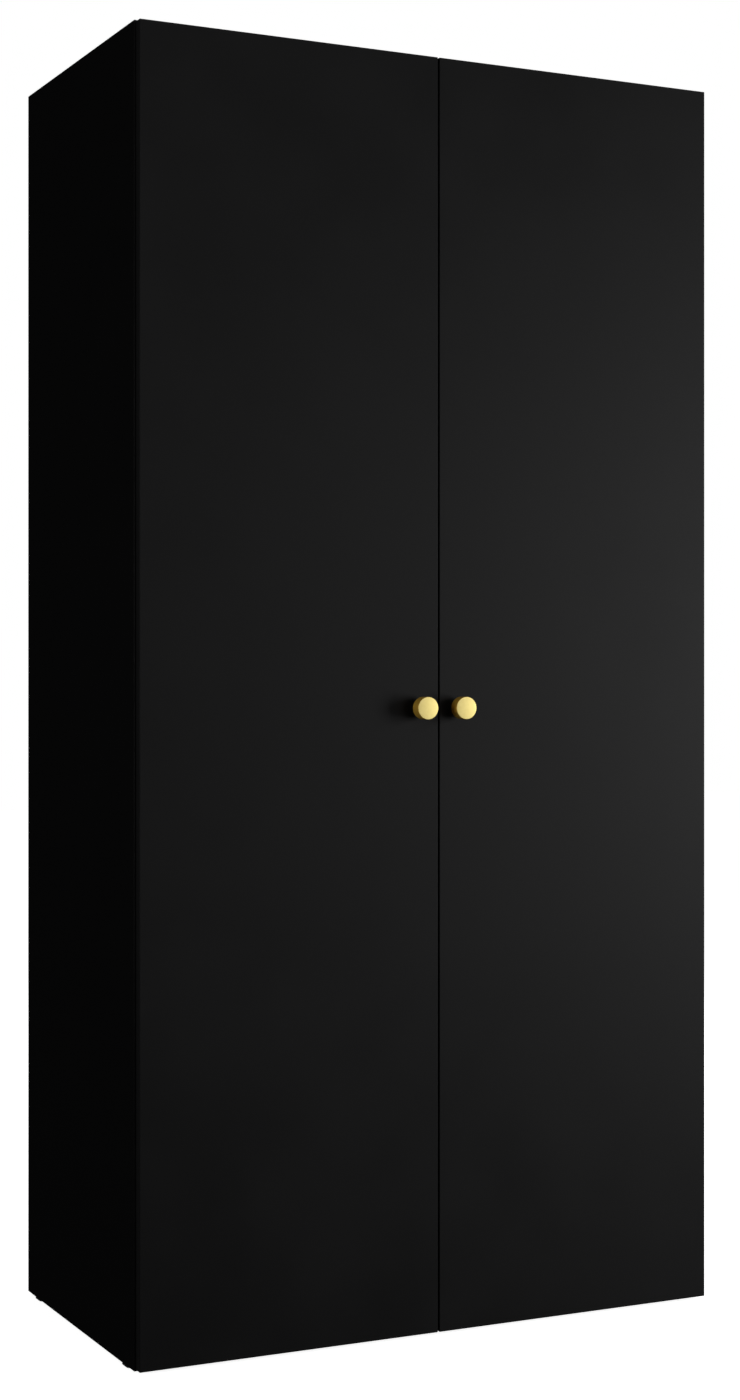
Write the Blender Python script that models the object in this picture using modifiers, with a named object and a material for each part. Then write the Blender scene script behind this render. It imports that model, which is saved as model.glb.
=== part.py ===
"""A two-door wardrobe, in metres, with +Z up and the doors facing -Y.

The origin is on the floor, in the middle of the closed wardrobe's footprint. The carcass is board
panels around a middle divider. Each door hangs on three concealed cup hinges, each of them a cup,
an arm, a mounting plate and two links, and has one round knob beside the middle gap.
"""

import math

import bmesh
import bpy
from mathutils import Matrix, Vector

# Overall size
WIDTH = 1.000
HEIGHT = 2.000
CARCASS_DEPTH = 0.500

# Boards
BOARD = 0.016
EDGE_ROUND = 0.0006
SEAT_GAP = 0.0003
BACK_BOARD = 0.003
BACK_INSET = 0.010
GROOVE_DEPTH = 0.006
SHELF_COUNT = 4
SHELF_SETBACK = 0.020

# Strip that joins the two halves of the back, an H in section
STRIP_WIDTH = 0.014
STRIP_WALL = 0.0010
STRIP_WEB = 0.0016

# Doors
DOOR_THICKNESS = 0.016
DOOR_GAP = 0.002
DOOR_SIDE_INSET = 0.002
DOOR_END_INSET = 0.0025
DOOR_MIDDLE_GAP = 0.003
DOOR_ROUND = 0.0008

# Knobs and the screws that hold them
KNOB_DIAMETER = 0.035
KNOB_HEAD_LENGTH = 0.0185
KNOB_HEAD_ROUND = 0.0005
KNOB_STEM_DIAMETER = 0.014
KNOB_STEM_LENGTH = 0.0105
KNOB_FROM_EDGE = 0.0322
KNOB_HEIGHT = 0.9815
SCREW_DIAMETER = 0.004
SCREW_CLEARANCE = 0.0003
SCREW_IN_KNOB = 0.011
SCREW_HEAD_DIAMETER = 0.0085
SCREW_HEAD_TOP_DIAMETER = 0.0051
SCREW_HEAD_LENGTH = 0.0026

# Glides under the boards
GLIDE_HEIGHT = 0.004
GLIDE_WIDTH = 0.013
GLIDE_LENGTH = 0.030
GLIDE_FROM_END = 0.045

# Hanging rail, an oval tube
RAIL_HEIGHT = 0.030
RAIL_WIDTH = 0.015
RAIL_WALL = 0.0012
RAIL_BELOW_SHELF = 0.060
RAIL_CLEARANCE = 0.0004
SOCKET_WALL = 0.0025
SOCKET_DEPTH = 0.014
SOCKET_PLATE = 0.003
SOCKET_PLATE_HEIGHT = 0.064

# Brackets that tie the top panel to a wall behind the back
BRACKET_LEG = 0.028
BRACKET_WIDTH = 0.040
BRACKET_THICKNESS = 0.002

# Hinge cups in the doors
CUP_DIAMETER = 0.035
CUP_BORE_DEPTH = 0.012
CUP_EDGE_MARGIN = 0.003
CUP_FROM_EDGE = CUP_DIAMETER / 2 + CUP_EDGE_MARGIN
CUP_WALL = 0.0012
FLANGE_THICKNESS = 0.0010
FLANGE_OVERHANG = 0.0017
FLANGE_RADIUS = CUP_DIAMETER / 2 + FLANGE_OVERHANG
EAR_OFFSET = 0.006
EAR_SPREAD = 0.024
EAR_RADIUS = 0.0050
HINGE_FROM_END = 0.100

# Hinge pins, as offsets from the middle of the cup's mouth: inward from the door's outer edge,
# and back from the door's inner face. The door is closed.
# The outer cup pin stays a set distance inside the bore. The inner link's end in the cup is free,
# so that a simple tree of hinges can carry the door.
CUP_PIN_INSET = 0.0051
OUTER_ARM_PIN = (0.0125, 0.0120)
OUTER_CUP_PIN = (CUP_PIN_INSET - CUP_DIAMETER / 2, -0.0010)
INNER_ARM_PIN = (0.0117, -0.0078)
INNER_CUP_END = (-0.0052, -0.0025)
OUTER_LINK_ELBOW = (-0.0020, -0.0020)
PIN_RADIUS = 0.00125
PIN_CLEARANCE = 0.00025
EYE_RADIUS = 0.0023
CHEEK_HALF_WIDTH = 0.0012
LINK_END_RADIUS = 0.0019

# Layers of a hinge, each as a half-height from the hinge's middle
INNER_LINK_HALF = 0.0030
CHEEK_INSIDE = 0.0034
CHEEK_OUTSIDE = 0.0054
ARM_INSIDE = 0.0058
ARM_OUTSIDE = 0.0070

# Hinge arm and mounting plate, measured back from the carcass's front edge
ARM_NECK_BACK = 0.013
ARM_NECK_RADIUS = 0.0030
ARM_TIP_RADIUS = 0.0020
ARM_ELBOW = (0.0080, 0.0080)
ARM_WALL_HEIGHT = 0.0045
ARM_WEB = 0.0012
ARM_WEB_FRONT = 0.022
ARM_REAR = 0.068
PLATE_HEIGHT = 0.0070
PLATE_WING = 0.0020
PLATE_FRONT = 0.026
PLATE_REAR = 0.062
PLATE_SCREW_LINE = 0.037
WING_SPREAD = 0.024
WING_DEPTH = 0.014

# Faces and lines that several pieces share
KNOB_PROJECTION = KNOB_HEAD_LENGTH + KNOB_STEM_LENGTH
TOTAL_DEPTH = CARCASS_DEPTH + DOOR_GAP + DOOR_THICKNESS + KNOB_PROJECTION
REAR_Y = TOTAL_DEPTH / 2
FRONT_Y = REAR_Y - CARCASS_DEPTH
DOOR_BACK_Y = FRONT_Y - DOOR_GAP
DOOR_FRONT_Y = DOOR_BACK_Y - DOOR_THICKNESS
SIDE_INNER_X = WIDTH / 2 - BOARD
BACK_OUTER_Y = REAR_Y - BACK_INSET
BACK_INNER_Y = BACK_OUTER_Y - BACK_BOARD
FLOOR_TOP_Z = GLIDE_HEIGHT + BOARD
CEILING_Z = HEIGHT - BOARD
DOOR_EDGE_X = WIDTH / 2 - DOOR_SIDE_INSET
DOOR_LOW_Z = GLIDE_HEIGHT + DOOR_END_INSET
DOOR_HIGH_Z = HEIGHT - DOOR_END_INSET
SHELF_STEP = (CEILING_Z - FLOOR_TOP_Z + BOARD) / (SHELF_COUNT + 1)
TOP_SHELF_Z = FLOOR_TOP_Z + SHELF_COUNT * SHELF_STEP - BOARD
RAIL_Z = TOP_SHELF_Z - RAIL_BELOW_SHELF
RAIL_Y = (FRONT_Y + BACK_INNER_Y) / 2
BAY_MIDDLE_X = (SIDE_INNER_X + BOARD / 2) / 2

# How far a cutter reaches past what it cuts, and how near two points are made one
CUT_PAST = 0.020
MERGE_DISTANCE = 0.00001

ROUND_STEPS = 40
SMALL_STEPS = 12
SIDES = {"left": -1, "right": 1}


def clear_scene():
    for obj in list(bpy.data.objects):
        bpy.data.objects.remove(obj, do_unlink=True)


def new_collection(name, shown=True):
    collection = bpy.data.collections.new(name)
    collection.hide_render = not shown
    bpy.context.scene.collection.children.link(collection)
    return collection


def new_material(name, colour, roughness, metallic=0.0):
    material = bpy.data.materials.new(name)
    material.use_nodes = True
    shader = material.node_tree.nodes["Principled BSDF"]
    shader.inputs["Base Color"].default_value = (*colour, 1.0)
    shader.inputs["Roughness"].default_value = roughness
    shader.inputs["Metallic"].default_value = metallic
    return material


clear_scene()
PARTS = new_collection("wardrobe")
CUTTERS = new_collection("cutters", shown=False)

LAMINATE = new_material("black_laminate", (0.012, 0.012, 0.013), 0.55)
HARDBOARD = new_material("black_hardboard", (0.015, 0.015, 0.015), 0.70)
GOLD = new_material("satin_gold", (0.78, 0.60, 0.25), 0.30, 1.0)
STEEL = new_material("nickel_plated_steel", (0.60, 0.59, 0.57), 0.28, 1.0)
CHROME = new_material("chrome_tube", (0.75, 0.75, 0.76), 0.12, 1.0)
PLASTIC = new_material("black_plastic", (0.02, 0.02, 0.02), 0.50)


# Basic shapes


def add_object(name, mesh, material, parent=None):
    obj = bpy.data.objects.new(name, mesh)
    PARTS.objects.link(obj)
    obj.parent = parent
    if mesh is not None:
        mesh.materials.append(material)
    return obj


def add_cutter(name, mesh, parent=None):
    cutter = bpy.data.objects.new(name, mesh)
    CUTTERS.objects.link(cutter)
    cutter.parent = parent
    cutter.hide_render = True
    cutter.display_type = "WIRE"
    return cutter


def mesh_of(name, build):
    """A new mesh that build(bm) fills, with its faces pointing out."""
    bm = bmesh.new()
    build(bm)
    bmesh.ops.recalc_face_normals(bm, faces=bm.faces)
    mesh = bpy.data.meshes.new(name)
    bm.to_mesh(mesh)
    bm.free()
    return mesh


def box_mesh(name, low, high):
    size = Vector(high) - Vector(low)
    middle = (Vector(high) + Vector(low)) / 2
    place = Matrix.Translation(middle) @ Matrix.Diagonal((*size, 1.0))
    return mesh_of(name, lambda bm: bmesh.ops.create_cube(bm, size=1.0, matrix=place))


def cylinder_mesh(name, radius, low_z, high_z, middle=(0.0, 0.0), steps=SMALL_STEPS):
    place = Matrix.Translation((*middle, (low_z + high_z) / 2))

    def build(bm):
        bmesh.ops.create_cone(
            bm,
            cap_ends=True,
            segments=steps,
            radius1=radius,
            radius2=radius,
            depth=high_z - low_z,
            matrix=place,
        )

    return mesh_of(name, build)


def hull_mesh(name, discs, low_z, high_z, steps=SMALL_STEPS):
    """A flat plate whose outline is the tight band around some discs, each (x, y, radius)."""

    def build(bm):
        for x, y, radius in discs:
            for step in range(steps):
                angle = 2 * math.pi * (step + 0.5) / steps
                for z in (low_z, high_z):
                    bm.verts.new((x + radius * math.cos(angle), y + radius * math.sin(angle), z))
        made = bmesh.ops.convex_hull(bm, input=bm.verts)
        loose = [item for item in made["geom_interior"] if isinstance(item, bmesh.types.BMVert)]
        bmesh.ops.delete(bm, geom=loose, context="VERTS")
        bmesh.ops.dissolve_limit(bm, angle_limit=0.001, verts=bm.verts, edges=bm.edges)

    return mesh_of(name, build)


def turned_mesh(name, profile, steps):
    """A profile of (radius, height) points turned about Z, as a mesh. Both its ends are on the axis."""
    line = bpy.data.meshes.new(name + "_profile")
    points = [(radius, 0.0, height) for radius, height in profile]
    line.from_pydata(points, [(i, i + 1) for i in range(len(points) - 1)], [])
    holder = bpy.data.objects.new(name + "_profile", line)
    CUTTERS.objects.link(holder)
    screw = holder.modifiers.new("turn", "SCREW")
    screw.steps = steps
    screw.render_steps = steps
    screw.use_merge_vertices = True
    screw.merge_threshold = MERGE_DISTANCE
    return evaluated_mesh(holder, name)


def outline_mesh(name, loops, thickness):
    """A flat outline, given as closed loops of (x, y) points, raised by half a thickness each way."""
    curve = bpy.data.curves.new(name + "_outline", "CURVE")
    curve.dimensions = "2D"
    curve.fill_mode = "BOTH"
    curve.extrude = thickness / 2
    for loop in loops:
        spline = curve.splines.new("POLY")
        spline.points.add(len(loop) - 1)
        for point, (x, y) in zip(spline.points, loop):
            point.co = (x, y, 0.0, 1.0)
        spline.use_cyclic_u = True
    holder = bpy.data.objects.new(name + "_outline", curve)
    CUTTERS.objects.link(holder)
    mesh = evaluated_mesh(holder, name)
    bm = bmesh.new()
    bm.from_mesh(mesh)
    bmesh.ops.remove_doubles(bm, verts=bm.verts, dist=MERGE_DISTANCE)
    bmesh.ops.recalc_face_normals(bm, faces=bm.faces)
    bm.to_mesh(mesh)
    bm.free()
    return mesh


def evaluated_mesh(holder, name):
    """The mesh of an object as its modifiers leave it. The object itself is removed."""
    graph = bpy.context.evaluated_depsgraph_get()
    graph.update()
    mesh = bpy.data.meshes.new_from_object(holder.evaluated_get(graph))
    mesh.name = name
    mesh.materials.clear()
    data = holder.data
    bpy.data.objects.remove(holder, do_unlink=True)
    if isinstance(data, bpy.types.Mesh):
        bpy.data.meshes.remove(data)
    else:
        bpy.data.curves.remove(data)
    return mesh


def boolean(obj, mesh, operation):
    """Joins a mesh to an object or cuts it away, in the object's own space."""
    helper = add_cutter(f"{obj.name}_{operation.lower()}_{len(obj.modifiers)}", mesh, obj)
    modifier = obj.modifiers.new(operation.lower(), "BOOLEAN")
    modifier.operation = operation
    modifier.solver = "EXACT"
    modifier.object = helper


def cut(obj, mesh):
    boolean(obj, mesh, "DIFFERENCE")


def join(obj, mesh):
    boolean(obj, mesh, "UNION")


def round_edges(obj, width):
    bevel = obj.modifiers.new("round_edges", "BEVEL")
    bevel.width = width
    bevel.segments = 1
    bevel.limit_method = "ANGLE"


def smooth(mesh):
    mesh.shade_smooth()
    mesh.set_sharp_from_angle(angle=math.radians(30))


def oval(height, width, steps=9):
    """An upright slot-shaped loop of (x, y) points, with half-round ends above and below."""
    radius = width / 2
    straight = height / 2 - radius
    loop = []
    for centre_y, start in ((straight, 0.0), (-straight, math.pi)):
        for step in range(steps):
            angle = start + math.pi * step / (steps - 1)
            loop.append((radius * math.cos(angle), centre_y + radius * math.sin(angle)))
    return loop


# Carcass


def board(name, low, high, material=LAMINATE, width=EDGE_ROUND):
    """A board from its lowest to its highest corner, with its origin in its middle."""
    middle = (Vector(low) + Vector(high)) / 2
    mesh = box_mesh(name, Vector(low) - middle, Vector(high) - middle)
    obj = add_object(name, mesh, material)
    obj.location = middle
    if width:
        round_edges(obj, width)
    return obj


def cut_box(obj, low, high):
    """Cuts a box, given in world positions, from an object that isn't turned."""
    cut(obj, box_mesh("cut", Vector(low) - obj.location, Vector(high) - obj.location))


def groove_span():
    """The groove for the back, front to rear."""
    return BACK_INNER_Y - SEAT_GAP, BACK_OUTER_Y + SEAT_GAP


def make_side_panels():
    groove_front, groove_rear = groove_span()
    for side, sign in SIDES.items():
        inner, outer = sign * SIDE_INNER_X, sign * WIDTH / 2
        low = (min(inner, outer), FRONT_Y, GLIDE_HEIGHT)
        high = (max(inner, outer), REAR_Y, HEIGHT)
        panel = board(f"side_panel_{side}", low, high)
        near, far = sorted((inner - sign * CUT_PAST, inner + sign * GROOVE_DEPTH))
        cut_box(panel, (near, groove_front, -CUT_PAST), (far, groove_rear, HEIGHT + CUT_PAST))


def make_top_and_bottom():
    groove_front, groove_rear = groove_span()
    half = SIDE_INNER_X - SEAT_GAP
    top = board("top_panel", (-half, FRONT_Y, CEILING_Z), (half, REAR_Y, HEIGHT))
    bottom = board("bottom_panel", (-half, FRONT_Y, GLIDE_HEIGHT), (half, REAR_Y, FLOOR_TOP_Z))
    for panel, face, inward in ((top, CEILING_Z, -1), (bottom, FLOOR_TOP_Z, 1)):
        low_z, high_z = sorted((face + inward * CUT_PAST, face - inward * GROOVE_DEPTH))
        cut_box(panel, (-WIDTH, groove_front, low_z), (WIDTH, groove_rear, high_z))


def make_divider():
    low = (-BOARD / 2, FRONT_Y, FLOOR_TOP_Z + SEAT_GAP)
    rear = BACK_INNER_Y - STRIP_WALL - 2 * SEAT_GAP
    board("centre_divider", low, (BOARD / 2, rear, CEILING_Z - SEAT_GAP))


def make_back():
    reach = GROOVE_DEPTH - SEAT_GAP
    near = STRIP_WEB / 2 + SEAT_GAP
    far = SIDE_INNER_X + reach
    low_z = FLOOR_TOP_Z - reach
    high_z = CEILING_Z + reach
    for side, sign in SIDES.items():
        low_x, high_x = sorted((sign * near, sign * far))
        low = (low_x, BACK_INNER_Y, low_z)
        high = (high_x, BACK_OUTER_Y, high_z)
        board(f"back_panel_{side}", low, high, HARDBOARD, width=0)


def make_back_strip():
    """An H section: its flanges lie in front of and behind the two halves of the back."""
    half_gap = BACK_BOARD / 2 + SEAT_GAP
    half_wide = STRIP_WIDTH / 2
    half_web = STRIP_WEB / 2
    outer = half_gap + STRIP_WALL
    quarter = [(half_wide, outer), (half_wide, half_gap), (half_web, half_gap)]
    right = quarter + [(x, -y) for x, y in reversed(quarter)]
    loop = right + [(-x, y) for x, y in reversed(right)]
    length = CEILING_Z - FLOOR_TOP_Z - 2 * SEAT_GAP
    mesh = outline_mesh("back_joint_strip", [loop], length)
    strip = add_object("back_joint_strip", mesh, PLASTIC)
    strip.location = (0.0, (BACK_INNER_Y + BACK_OUTER_Y) / 2, (CEILING_Z + FLOOR_TOP_Z) / 2)


def make_shelves():
    near = BOARD / 2 + SEAT_GAP
    far = SIDE_INNER_X - SEAT_GAP
    front = FRONT_Y + SHELF_SETBACK
    rear = BACK_INNER_Y - SEAT_GAP
    for number in range(1, SHELF_COUNT + 1):
        low_z = FLOOR_TOP_Z + number * SHELF_STEP - BOARD
        board(f"shelf_{number}", (near, front, low_z), (far, rear, low_z + BOARD))
    board("hat_shelf", (-far, front, TOP_SHELF_Z), (-near, rear, TOP_SHELF_Z + BOARD))


def make_rail():
    """The rail runs across the left bay, and each end of it stands in a socket's oval collar."""
    bay_low = -SIDE_INNER_X
    bay_high = -BOARD / 2
    middle = ((bay_low + bay_high) / 2, RAIL_Y, RAIL_Z)
    turn = Matrix.Rotation(math.radians(90), 4, "Z") @ Matrix.Rotation(math.radians(90), 4, "X")
    inset = SOCKET_PLATE + 2 * SEAT_GAP
    length = bay_high - bay_low - 2 * inset
    inner = oval(RAIL_HEIGHT - 2 * RAIL_WALL, RAIL_WIDTH - 2 * RAIL_WALL)
    mesh = outline_mesh("hanging_rail", [oval(RAIL_HEIGHT, RAIL_WIDTH), inner], length)
    smooth(mesh)
    rail = add_object("hanging_rail", mesh, CHROME)
    rail.matrix_world = Matrix.Translation(middle) @ turn

    for side, x, sign in (("left", bay_low, 1), ("right", bay_high, -1)):
        name = f"rail_socket_{side}"
        hole_height = RAIL_HEIGHT + 2 * RAIL_CLEARANCE
        hole_width = RAIL_WIDTH + 2 * RAIL_CLEARANCE
        collar = oval(hole_height + 2 * SOCKET_WALL, hole_width + 2 * SOCKET_WALL)
        hole = oval(hole_height, hole_width)
        plate = oval(SOCKET_PLATE_HEIGHT, hole_width + 2 * SOCKET_WALL)
        socket = add_object(name, outline_mesh(name, [plate], SOCKET_PLATE), STEEL)
        start = SOCKET_PLATE / 2
        ring = outline_mesh("collar", [collar, hole], SOCKET_DEPTH)
        ring.transform(Matrix.Translation((0, 0, start + SOCKET_DEPTH / 2 - SEAT_GAP)))
        join(socket, ring)
        place = Matrix.Translation((x + sign * (SEAT_GAP + start), RAIL_Y, RAIL_Z)) @ turn
        if sign < 0:
            place = place @ Matrix.Rotation(math.radians(180), 4, "Y")
        socket.matrix_world = place


def make_glides():
    rows = {
        "left": -(WIDTH - BOARD) / 2,
        "centre": 0.0,
        "right": (WIDTH - BOARD) / 2,
    }
    ends = {
        "front": FRONT_Y + GLIDE_FROM_END,
        "rear": REAR_Y - GLIDE_FROM_END,
    }
    for end, y in ends.items():
        for row, x in rows.items():
            half = Vector((GLIDE_WIDTH / 2, GLIDE_LENGTH / 2, (GLIDE_HEIGHT - SEAT_GAP) / 2))
            name = f"glide_{end}_{row}"
            glide = add_object(name, box_mesh(name, -half, half), PLASTIC)
            glide.location = (x, y, half.z)
            round_edges(glide, EDGE_ROUND)


def make_brackets():
    """Small angles in the top rear corner of each bay."""
    for side, sign in SIDES.items():
        top = CEILING_Z - SEAT_GAP
        rear = BACK_INNER_Y - SEAT_GAP
        name = f"wall_bracket_{side}"
        low = (-BRACKET_WIDTH / 2, -BRACKET_LEG, -BRACKET_THICKNESS)
        high = (BRACKET_WIDTH / 2, 0.0, 0.0)
        bracket = add_object(name, box_mesh(name, low, high), STEEL)
        low = (-BRACKET_WIDTH / 2, -BRACKET_THICKNESS, -BRACKET_LEG)
        join(bracket, box_mesh("leg", low, high))
        bracket.location = (sign * BAY_MIDDLE_X, rear, top)


# Doors


def hinge_heights():
    return {
        "low": DOOR_LOW_Z + HINGE_FROM_END,
        "middle": (DOOR_LOW_Z + DOOR_HIGH_Z) / 2,
        "high": DOOR_HIGH_Z - HINGE_FROM_END,
    }


def forward(mesh):
    """Turns a shape made along +Z to point forward, along -Y."""
    mesh.transform(Matrix.Rotation(math.radians(90), 4, "X"))
    return mesh


def backward(mesh):
    """Turns a shape made along +Z to point back, along +Y."""
    mesh.transform(Matrix.Rotation(math.radians(-90), 4, "X"))
    return mesh


def moved(mesh, place):
    mesh.transform(Matrix.Translation(place))
    return mesh


def knob_x(sign):
    return sign * (DOOR_MIDDLE_GAP / 2 + KNOB_FROM_EDGE)


def make_door(side, sign, pivot):
    """A slab with three blind bores for the hinge cups and a hole for the knob's screw."""
    near, far = sorted((sign * DOOR_MIDDLE_GAP / 2, sign * DOOR_EDGE_X))
    low = Vector((near, DOOR_FRONT_Y, DOOR_LOW_Z)) - pivot.location
    high = Vector((far, DOOR_BACK_Y, DOOR_HIGH_Z)) - pivot.location
    name = f"door_{side}"
    door = add_object(name, box_mesh(name, low, high), LAMINATE, pivot)
    round_edges(door, DOOR_ROUND)
    for z in hinge_heights().values():
        bore = cylinder_mesh("bore", CUP_DIAMETER / 2, -CUT_PAST, CUP_BORE_DEPTH, steps=ROUND_STEPS)
        place = Vector((sign * (DOOR_EDGE_X - CUP_FROM_EDGE), DOOR_BACK_Y, z))
        cut(door, moved(forward(bore), place - pivot.location))
    radius = SCREW_DIAMETER / 2 + SCREW_CLEARANCE
    hole = cylinder_mesh("hole", radius, -CUT_PAST, DOOR_THICKNESS + CUT_PAST)
    place = Vector((knob_x(sign), DOOR_BACK_Y, KNOB_HEIGHT))
    cut(door, moved(forward(hole), place - pivot.location))


def make_knob(side, sign, pivot):
    """A turned knob on its stem, and the screw that comes through the door into it."""
    head = KNOB_DIAMETER / 2
    stem = KNOB_STEM_DIAMETER / 2
    hole = SCREW_DIAMETER / 2 + SCREW_CLEARANCE
    end = SCREW_IN_KNOB + SCREW_CLEARANCE
    profile = [
        (0.0, KNOB_PROJECTION),
        (head - KNOB_HEAD_ROUND, KNOB_PROJECTION),
        (head, KNOB_PROJECTION - KNOB_HEAD_ROUND),
        (head, KNOB_STEM_LENGTH + KNOB_HEAD_ROUND),
        (head - KNOB_HEAD_ROUND, KNOB_STEM_LENGTH),
        (stem, KNOB_STEM_LENGTH),
        (stem, SEAT_GAP),
        (hole, SEAT_GAP),
        (hole, end),
        (0.0, end),
    ]
    name = f"knob_{side}"
    mesh = forward(turned_mesh(name, profile, ROUND_STEPS))
    smooth(mesh)
    knob = add_object(name, mesh, GOLD, pivot)
    knob.location = Vector((knob_x(sign), DOOR_FRONT_Y, KNOB_HEIGHT)) - pivot.location

    radius = SCREW_DIAMETER / 2
    flat = SCREW_HEAD_DIAMETER / 2
    profile = [
        (0.0, DOOR_THICKNESS + SCREW_IN_KNOB),
        (radius, DOOR_THICKNESS + SCREW_IN_KNOB),
        (radius, -SEAT_GAP),
        (flat, -SEAT_GAP),
        (flat, -SEAT_GAP - SCREW_HEAD_LENGTH / 2),
        (SCREW_HEAD_TOP_DIAMETER / 2, -SEAT_GAP - SCREW_HEAD_LENGTH),
        (0.0, -SEAT_GAP - SCREW_HEAD_LENGTH),
    ]
    name = f"knob_screw_{side}"
    mesh = forward(turned_mesh(name, profile, SMALL_STEPS))
    smooth(mesh)
    screw = add_object(name, mesh, STEEL, pivot)
    screw.location = Vector((knob_x(sign), DOOR_BACK_Y, KNOB_HEIGHT)) - pivot.location


# Hinges. Each piece is modelled about the middle of its cup's mouth, with +X inward from the door's
# outer edge, +Y back into the carcass and +Z up. The right door's pieces are mirrored in X.


def pin_mesh(pin, half_length, radius=PIN_RADIUS):
    return cylinder_mesh("pin", radius, -half_length, half_length, middle=pin)


def hinge_cup(name):
    """A cup with a flange and a screw ear above and below it, and the pin across its mouth."""
    outside = CUP_DIAMETER / 2 - SEAT_GAP
    inside = outside - CUP_WALL
    bottom = -CUP_BORE_DEPTH + SEAT_GAP
    top = SEAT_GAP + FLANGE_THICKNESS
    bowl = cylinder_mesh(name, outside, bottom, top - FLANGE_THICKNESS / 2, steps=ROUND_STEPS)
    cup = add_object(name, backward(bowl), STEEL)
    discs = [
        (0.0, 0.0, FLANGE_RADIUS),
        (EAR_OFFSET, EAR_SPREAD, EAR_RADIUS),
        (EAR_OFFSET, -EAR_SPREAD, EAR_RADIUS),
    ]
    join(cup, backward(hull_mesh("flange", discs, SEAT_GAP, top, steps=ROUND_STEPS)))
    floor = bottom + CUP_WALL
    cut(cup, backward(cylinder_mesh("hollow", inside, floor, top + CUT_PAST, steps=ROUND_STEPS)))
    farthest = abs(OUTER_CUP_PIN[0]) + PIN_RADIUS
    half_length = math.sqrt(outside**2 - farthest**2) - CUP_WALL / 4
    join(cup, pin_mesh(OUTER_CUP_PIN, half_length))
    return cup


def side_inner():
    """The side panel's inner face, from the middle of the cup."""
    return BOARD - DOOR_SIDE_INSET - CUP_FROM_EDGE


def from_front_edge(distance):
    """A place behind the carcass's front edge, from the door's inner face."""
    return DOOR_GAP + distance


def hinge_arm(name):
    """Two side walls that hold the arm pins, joined by a web over the mounting plate."""
    web_low = side_inner() + SEAT_GAP + PLATE_HEIGHT + SEAT_GAP
    web_high = web_low + ARM_WEB
    wall_low = web_high - ARM_WALL_HEIGHT
    rear = from_front_edge(ARM_REAR)
    shoulder = from_front_edge(ARM_WEB_FRONT)
    neck = (web_high - ARM_NECK_RADIUS, from_front_edge(ARM_NECK_BACK), ARM_NECK_RADIUS)
    half_wall = ARM_WALL_HEIGHT / 2
    shoulder_disc = (web_high - half_wall, shoulder + half_wall, half_wall)
    outer_tip = (*OUTER_ARM_PIN, ARM_TIP_RADIUS)
    inner_tip = (*INNER_ARM_PIN, ARM_TIP_RADIUS)
    elbow = (*ARM_ELBOW, EYE_RADIUS)
    arm = add_object(name, hull_mesh(name, [outer_tip, inner_tip], ARM_INSIDE, ARM_OUTSIDE), STEEL)
    join(arm, hull_mesh("tip", [outer_tip, inner_tip], -ARM_OUTSIDE, -ARM_INSIDE))
    for low_z, high_z in ((ARM_INSIDE, ARM_OUTSIDE), (-ARM_OUTSIDE, -ARM_INSIDE)):
        join(arm, hull_mesh("elbow", [outer_tip, elbow, neck], low_z, high_z))
        join(arm, hull_mesh("neck", [neck, shoulder_disc], low_z, high_z))
        join(arm, box_mesh("wall", (wall_low, shoulder, low_z), (web_high, rear, high_z)))
    web_shape = ((web_low, shoulder, -ARM_OUTSIDE), (web_high, rear, ARM_OUTSIDE))
    join(arm, box_mesh("web", *web_shape))
    for pin in (OUTER_ARM_PIN, INNER_ARM_PIN):
        join(arm, pin_mesh(pin, (ARM_INSIDE + ARM_OUTSIDE) / 2))
    return arm


def hinge_plate(name):
    """A block under the arm's web, with two wings against the side panel for its screws."""
    face = side_inner() + SEAT_GAP
    half = ARM_INSIDE - SEAT_GAP
    front, rear = from_front_edge(PLATE_FRONT), from_front_edge(PLATE_REAR)
    low, high = (face, front, -half), (face + PLATE_HEIGHT, rear, half)
    plate = add_object(name, box_mesh(name, low, high), STEEL)
    line = from_front_edge(PLATE_SCREW_LINE)
    low = (face, line - WING_DEPTH / 2, -WING_SPREAD)
    high = (face + PLATE_WING, line + WING_DEPTH / 2, WING_SPREAD)
    join(plate, box_mesh("wings", low, high))
    return plate


def hinge_outer_link(name):
    """Two bent cheeks on a barrel at each end, one barrel on each outer pin."""
    start, end = OUTER_ARM_PIN, OUTER_CUP_PIN
    link = add_object(name, pin_mesh(start, CHEEK_OUTSIDE, EYE_RADIUS), STEEL)
    join(link, pin_mesh(end, CHEEK_OUTSIDE, EYE_RADIUS))
    for low_z, high_z in ((CHEEK_INSIDE, CHEEK_OUTSIDE), (-CHEEK_OUTSIDE, -CHEEK_INSIDE)):
        for pin in (start, end):
            discs = [(*pin, CHEEK_HALF_WIDTH), (*OUTER_LINK_ELBOW, CHEEK_HALF_WIDTH)]
            join(link, hull_mesh("cheek", discs, low_z, high_z))
    for pin in (start, end):
        cut(link, pin_mesh(pin, CUT_PAST, PIN_RADIUS + PIN_CLEARANCE))
    return link


def hinge_inner_link(name):
    """A bar with an eye on its arm pin and a free round end in the cup."""
    discs = [(*INNER_ARM_PIN, EYE_RADIUS), (*INNER_CUP_END, LINK_END_RADIUS)]
    shape = hull_mesh(name, discs, -INNER_LINK_HALF, INNER_LINK_HALF)
    link = add_object(name, shape, STEEL)
    cut(link, pin_mesh(INNER_ARM_PIN, CUT_PAST, PIN_RADIUS + PIN_CLEARANCE))
    return link


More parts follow.
